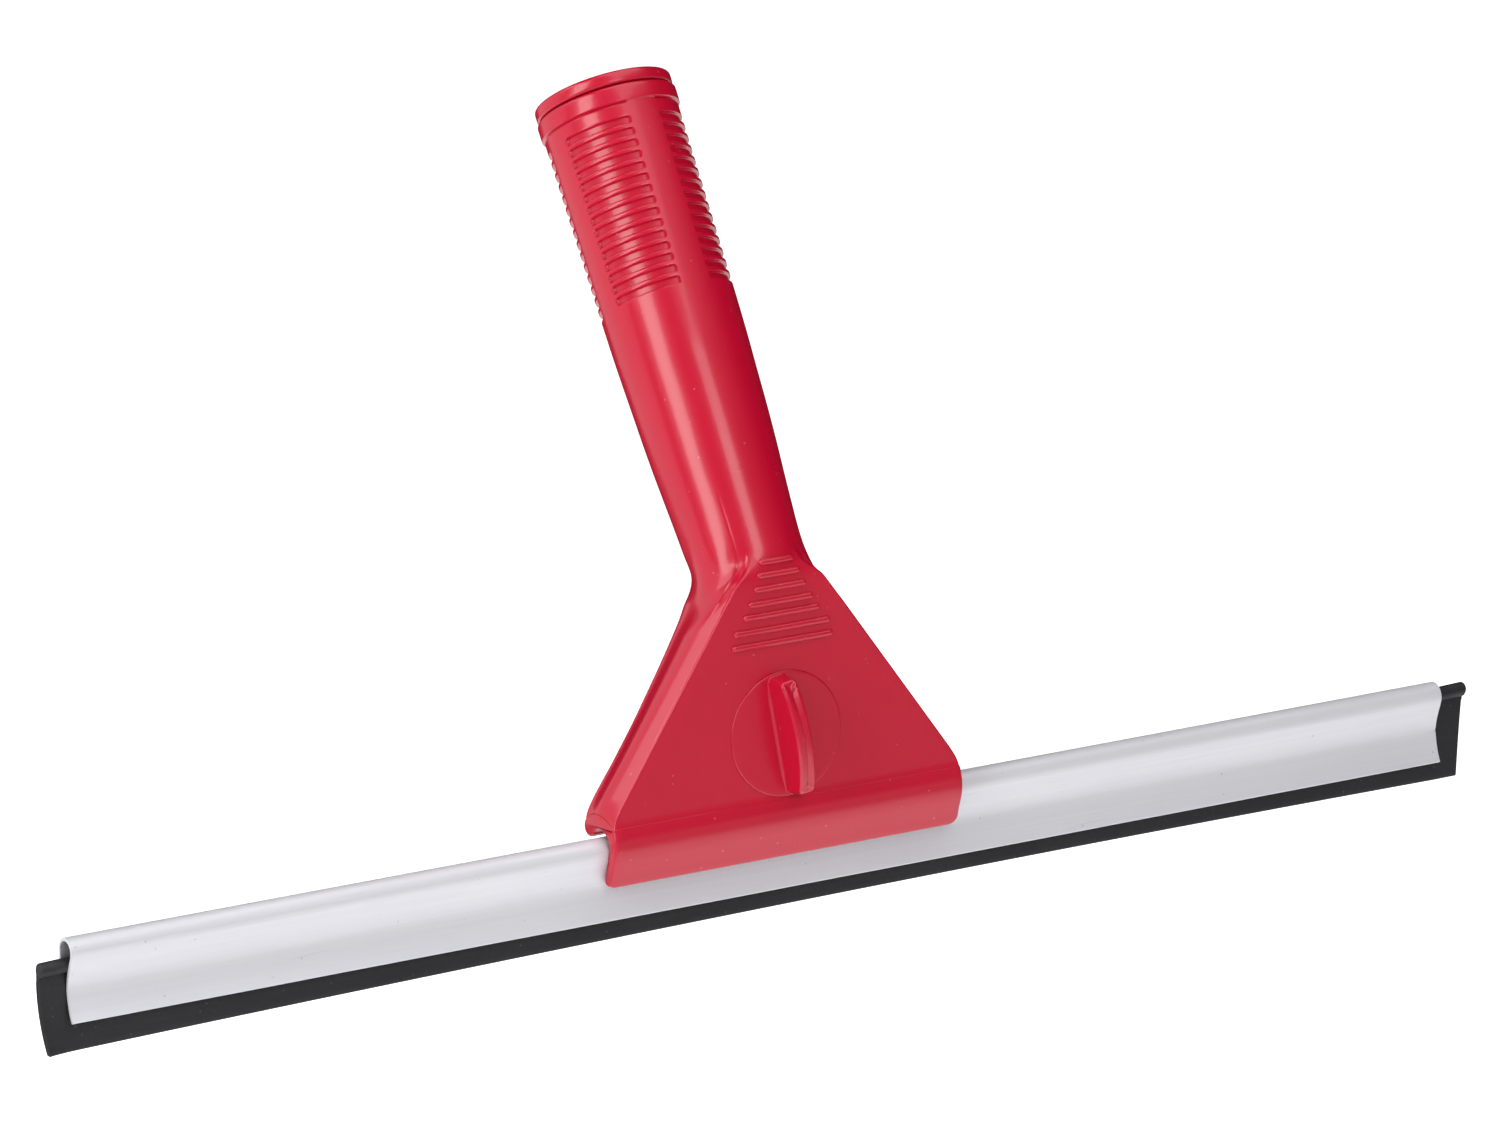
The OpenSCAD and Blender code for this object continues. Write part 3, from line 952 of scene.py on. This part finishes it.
def build_knob():
    """The disc with its spindle, bored for the screw and the pin; the wing."""
    out, x = (0, -1, 0), (1, 0, 0)
    centre = np.array([0, 0, KNOB_Z])
    rim, face = 0.3, DISC_FACE - 0.02
    disc = [(0, -6.2), (0.6, -6.2), (1.5, -6.2), (2.9, -6.2), (3.0, -6.1),
            (3.0, -2.6), (3.9, -2.6), (4.0, -2.5), (4.0, 4.5), (6.8, 4.5),
            (6.8, 5.2), (9.2, 5.2), (9.2, 4.5), (13.7, 4.5), (DISC_R, 4.7)]
    disc += [(DISC_R - rim + rim * math.cos(a), face - rim + rim * math.sin(a))
             for a in np.linspace(0, math.pi / 2, 6)]
    disc += [(13.0, DISC_FACE), (12.2, face), (9, face), (5, face), (0, face)]
    obj = closed_mesh("knob_disc", *lathe_solid(disc, centre, out, x, 128))
    for verts, faces in (
            lathe_solid([(0, -7), (1.5, -7), (1.5, -1), (0, -1)], centre, out, x, 32),
            lathe_solid([(0, -6.5), (1.0, -6.5), (1.0, 6.5), (0, 6.5)],
                        centre + [0, 0.2, 0], x, out, 24)):
        cutter = closed_mesh("bore", verts, faces)
        boolean(obj, cutter, "DIFFERENCE")
        bpy.data.objects.remove(cutter)
    finish_piece(obj, RED, "lock_knob", 32)
    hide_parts("knob")
    wing = closed_mesh("knob_wing", *wing_piece())
    finish_piece(wing, RED, "lock_knob", 60)


build_collar()
build_cap()
build_knob()

# --------------------------------------------------------- rail and rubber

RAIL_HALF = (rail_high.x - rail_low.x) / 2 / MM
RAIL_FOOT = -18.2
SHEET = 0.7


def cut_edge(p, q):
    """Three points that round the sheet's cut edge from p to q."""
    low = np.array([0, -0.12])
    return [p * (1 - k) + q * k + low for k in (0.15, 0.5, 0.85)]


def rail_outline():
    """Closed (Y, Z) outline of the folded sheet, outside then inside."""
    back = [(LOOP_R, z) for z in np.linspace(RAIL_FOOT, -3.2, 16)]
    loop = [(LOOP_R * math.cos(a), -LOOP_R + LOOP_R * math.sin(a))
            for a in np.radians(np.arange(0, 196, 6))]
    front = catmull([(-2.92, -3.7), (-2.45, -4.9), (-1.65, -6.6), (-0.85, -8.6),
                     (-0.35, -10.6), (-0.3, -12.4), (-0.6, -14.6),
                     (-1.1, -16.6), (-1.7, RAIL_FOOT)], 5)
    path = np.array(back + loop[:-2] + [tuple(p) for p in front[1:]])
    step = np.linalg.norm(np.diff(path, axis=0), axis=1)
    path = path[np.concatenate([[True], step > 0.05])]
    tangent = np.gradient(path, axis=0)
    tangent /= np.linalg.norm(tangent, axis=1)[:, None]
    inward = np.stack([-tangent[:, 1], tangent[:, 0]], 1)
    inner = path + inward * SHEET
    return np.concatenate([path, cut_edge(path[-1], inner[-1]), inner[::-1],
                           cut_edge(inner[0], path[0])])


def build_rail():
    """The outline swept along X, with the small faults of a folded sheet."""
    outline = rail_outline()
    n = len(outline)
    offsets = [0, 0.08, 0.2, 0.5, 1.0, 2, 3, 4, 5, 6.5, 8, 10, 14]
    xs = ([-RAIL_HALF + o for o in offsets] + list(np.arange(-158, 159, 4))
          + [RAIL_HALF - o for o in offsets[::-1]])
    centre = outline.mean(0)
    verts = []
    for x in xs:
        p = outline.copy()
        end = RAIL_HALF - abs(x)
        # hairline waves, more towards the foot
        wave = 0.035 * math.sin(x / 17 + 0.6) + 0.025 * math.sin(x / 6.3)
        p[:, 0] += wave * np.clip((-p[:, 1] - 6) / 12, 0, 1)
        if x > 0:
            # small dent pressed into the front sheet near its right end
            dent = np.exp(-((p[:, 1] + 11.2) / 0.5) ** 2) * math.exp(-(end / 0.9) ** 2)
            p[:, 0] += 0.22 * dent * (p[:, 0] < 0.5)
        # the last fraction of a millimetre draws in, as a dulled edge
        trim = 0.12 * max(0, 1 - end / 0.2)
        p = p + (centre - p) * trim * 0.02
        verts.append(np.column_stack([np.full(n, x), p]))
    faces = grid_faces(len(verts), n) + end_faces(len(verts), n)
    obj = closed_mesh("rail_channel", np.concatenate(verts), faces)
    finish_piece(obj, RAIL, "rail", 30)
    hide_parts("rail")


# middle, half thickness and lower edge of the strip; middle and radius of its bead
BLADE_Y, BLADE_HALF, BLADE_LOW = 1.3, 0.7, -23.95
BEAD_Y, BEAD_Z, BEAD_R = 0.65, -5.05, 1.6
blade_low, blade_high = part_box("rubber_blade")


def rubber_outline():
    """Closed (Y, Z) outline: the round bead, then down round the blade."""
    front, back = BLADE_Y - BLADE_HALF, BLADE_Y + BLADE_HALF
    start = math.asin((front - BEAD_Y) / BEAD_R)
    stop = math.asin((back - BEAD_Y) / BEAD_R)
    angles = np.linspace(-math.pi / 2 + stop, 1.5 * math.pi + start, 40)
    bead = [(BEAD_Y + BEAD_R * math.cos(a), BEAD_Z + BEAD_R * math.sin(a))
            for a in angles]
    heights = np.linspace(-7.2, BLADE_LOW + 0.3, 24)
    edge = [(front + 0.08, BLADE_LOW + 0.08), (front + 0.25, BLADE_LOW),
            (BLADE_Y, BLADE_LOW), (back - 0.25, BLADE_LOW),
            (back - 0.08, BLADE_LOW + 0.08)]
    return np.array(bead + [(front, z) for z in heights] + edge
                    + [(back, z) for z in heights[::-1]])


def sag(t):
    """Rise of the strip at t, from -1 at the rail's left end to 1 at its right.

    It hangs to the left and bows up in the middle."""
    beyond = max(-t - 1, 0) * 175 / 8
    return t - 0.25 * beyond + 1.2 * max(1 - t * t, 0)


def build_rubber():
    """The strip, whose two ends are cut a little differently."""
    outline = rubber_outline()
    n = len(outline)
    x0, x1 = blade_low.x / MM, blade_high.x / MM + 0.2
    offsets = [0, 0.15, 0.4, 0.8, 1.4, 2.2, 3.2, 4.5, 6, 8, 10, 13]
    stations = ([("low", o) for o in offsets]
                + [("mid", x) for x in np.arange(-166, 166, 4.0)]
                + [("high", o) for o in offsets[::-1]])
    # 0 at the bead's middle, 1 at the lower edge
    down = np.clip((BEAD_Z - outline[:, 1]) / (BEAD_Z - BLADE_LOW), 0, 1)
    verts = []
    for kind, value in stations:
        end = value
        if kind == "low":
            # drawn in at the bottom, and a little at the bead
            inset = 1.9 * down ** 2.2 + 0.5 * (1 - down) ** 3
            x = x0 + value + inset * math.exp(-value / 5)
        elif kind == "high":
            inset = 2.6 * down ** 0.8
            x = x1 - value - inset * math.exp(-value / 5)
        else:
            x = np.full(n, value)
            end = 99
        # the cut ends are slightly rounded
        shrink = 0.22 * max(0.0, 1 - end / 0.4) ** 2
        core = np.column_stack([np.where(down > 0.12, BLADE_Y, BEAD_Y),
                                np.clip(outline[:, 1], -23.4, BEAD_Z)])
        p = outline + (core - outline) * shrink
        t = np.mean(x) / 175
        # the bead lifts a little where it sticks out on the right
        p[:, 1] += sag(t) + 0.8 * max(t, 0) ** 6 * (1 - down)
        p[:, 0] += 0.12 * down * math.sin(np.mean(x) / 41)
        if kind == "low":
            p[:, 0] -= 0.5 * down * math.exp(-value / 3)
        verts.append(np.column_stack([x, p]))
    faces = grid_faces(len(verts), n) + end_faces(len(verts), n)
    obj = closed_mesh("rubber_strip", np.concatenate(verts), faces)
    finish_piece(obj, RUBBER, "blade", 40)
    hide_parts("rubber_blade")


build_rail()
build_rubber()

# ------------------------------------------- inner parts keep their CAD form

for node, material, name in (
        ("friction_ring", RUBBER, "black_rubber"), ("lock_cam", ACETAL, "natural_plastic"),
        ("cam_pin", STEEL, "steel"), ("lock_shoe", ACETAL, "natural_plastic"),
        ("shoe_pad", RUBBER, "black_rubber"), ("spring_left", STEEL, "steel"),
        ("spring_right", STEEL, "steel"), ("spindle_washer", STEEL, "steel"),
        ("spindle_screw", STEEL, "steel")):
    obj = frame["nodes"][node]
    obj.data.materials.clear()
    obj.data.materials.append(material)

# --------------------------------------------------- floor, light and camera


def studio():
    """White backdrop; the room seen in reflections is dimmer."""
    scene = bpy.context.scene
    scene.view_settings.view_transform = "Standard"
    world = bpy.data.worlds.new("studio")
    scene.world = world
    world.use_nodes = True
    nodes, links = world.node_tree.nodes, world.node_tree.links
    room = nodes["Background"]
    backdrop = nodes.new("ShaderNodeBackground")
    backdrop.inputs["Color"].default_value = (1, 1, 1, 1)
    coords = nodes.new("ShaderNodeTexCoord")

    def along(direction, start, end, low, high):
        """A level that goes from low to high along one direction."""
        dot = nodes.new("ShaderNodeVectorMath")
        dot.operation = "DOT_PRODUCT"
        dot.inputs[1].default_value = direction
        links.new(coords.outputs["Generated"], dot.inputs[0])
        level = nodes.new("ShaderNodeMapRange")
        level.interpolation_type = "SMOOTHSTEP"
        for socket, value in (("From Min", start), ("From Max", end),
                              ("To Min", low), ("To Max", high)):
            level.inputs[socket].default_value = value
        links.new(dot.outputs["Value"], level.inputs["Value"])
        return level.outputs["Result"]

    def combine(operation, a, b):
        node = nodes.new("ShaderNodeMath")
        node.operation = operation
        links.new(a, node.inputs[0])
        links.new(b, node.inputs[1])
        return node.outputs["Value"]

    # light walls, darker behind to the right, above and to the far left
    level = combine("MULTIPLY", along((0.62, 0.78, 0.0), -0.35, 0.45, 1.0, 0.03),
                    along((0.0, 0.0, 1.0), -0.2, 0.35, 0.33, 0.16))
    level = combine("MULTIPLY", level,
                    along((-1.0, 0.2, 0.0), 0.4, 0.85, 1.0, 0.45))
    # and the bright table below
    level = combine("ADD", level, along((0.0, 0.0, -1.0), 0.3, 0.62, 0.0, 1.2))
    links.new(level, room.inputs["Color"])
    path = nodes.new("ShaderNodeLightPath")
    blend = nodes.new("ShaderNodeMixShader")
    links.new(path.outputs["Is Camera Ray"], blend.inputs["Fac"])
    links.new(room.outputs["Background"], blend.inputs[1])
    links.new(backdrop.outputs["Background"], blend.inputs[2])
    links.new(blend.outputs["Shader"], nodes["World Output"].inputs["Surface"])


def lay_floor():
    """Pale paper, some way below the tool, that glows for the camera."""
    size, cells, drop = 4.0, 40, 0.16
    side = np.linspace(-size, size, cells)
    verts = [(x, y, cad_low.z - drop) for y in side for x in side]
    data = bpy.data.meshes.new("floor")
    data.from_pydata(verts, [], grid_faces(cells, cells, wrap=False))
    floor = bpy.data.objects.new("floor", data)
    bpy.context.scene.collection.objects.link(floor)
    s = Shader("floor_paper")
    tone = s.mix(s.noise(3, 3), srgb(250, 250, 250), srgb(253, 253, 253))
    s.link(tone, s.bsdf.inputs["Base Color"])
    s.link(tone, s.bsdf.inputs["Emission Color"])
    s.set(Roughness=0.9)
    seen = s.add("ShaderNodeLightPath").outputs["Is Camera Ray"]
    s.link(s.ramp(seen, 0.0, 1.0, 0.6, 1.1), s.bsdf.inputs["Emission Strength"])
    s.bump((s.noise(300, 3), 0.02, 0.0005))
    data.materials.append(s.mat)
    floor.visible_glossy = False


def soft_box(name, azimuth, elevation, distance, size, radiance):
    """Area light aimed at the head; azimuth 0 is in front, 90 to the right."""
    a, e = math.radians(azimuth), math.radians(elevation)
    aim = Vector(row([0, 5, 60]))
    way = Vector((math.sin(a) * math.cos(e), -math.cos(a) * math.cos(e), math.sin(e)))
    light = bpy.data.lights.new(name, "AREA")
    light.shape = "RECTANGLE"
    light.size, light.size_y = size
    light.energy = radiance * math.pi * size[0] * size[1]
    obj = bpy.data.objects.new(name, light)
    bpy.context.scene.collection.objects.link(obj)
    obj.location = aim + way * distance
    obj.rotation_mode = "QUATERNION"
    obj.rotation_quaternion = way.to_track_quat("Z", "Y")
    return obj


def camera():
    """Long lens from the left and a little above, held slightly rolled."""
    yaw, pitch, roll = (math.radians(a) for a in (31.122, 12.56, 2.335))
    distance = 2.2553
    target = Vector(row([-4.0, 0.0, 54.64]))
    back = Vector((-math.sin(yaw) * math.cos(pitch), -math.cos(yaw) * math.cos(pitch),
                   math.sin(pitch)))
    right = Vector((math.cos(yaw), -math.sin(yaw), 0))
    up = back.cross(right)
    right, up = (right * math.cos(roll) - up * math.sin(roll),
                 up * math.cos(roll) + right * math.sin(roll))
    data = bpy.data.cameras.new("camera")
    data.sensor_width = 36
    data.lens = 250.4
    cam = bpy.data.objects.new("camera", data)
    bpy.context.scene.collection.objects.link(cam)
    basis = Matrix((right, up, back)).transposed().to_4x4()
    cam.matrix_world = Matrix.Translation(target + back * distance) @ basis
    data.clip_start, data.clip_end = 0.05, 60
    bpy.context.scene.camera = cam


studio()
lay_floor()
soft_box("left_box", -75, 22, 0.95, (0.34, 0.8), 5.6)
soft_box("left_high", -110, 40, 1.2, (0.8, 0.42), 2.6)
soft_box("left_wall", -138, 8, 1.5, (1.9, 1.4), 0.75)
soft_box("front_box", -4, 29, 0.6, (0.2, 0.3), 4.2)
soft_box("top_box", 30, 74, 0.8, (0.8, 0.8), 1.7)
fill = soft_box("right_fill", 62, 60, 1.2, (0.7, 0.7), 0.8)
fill.visible_glossy = False
camera()
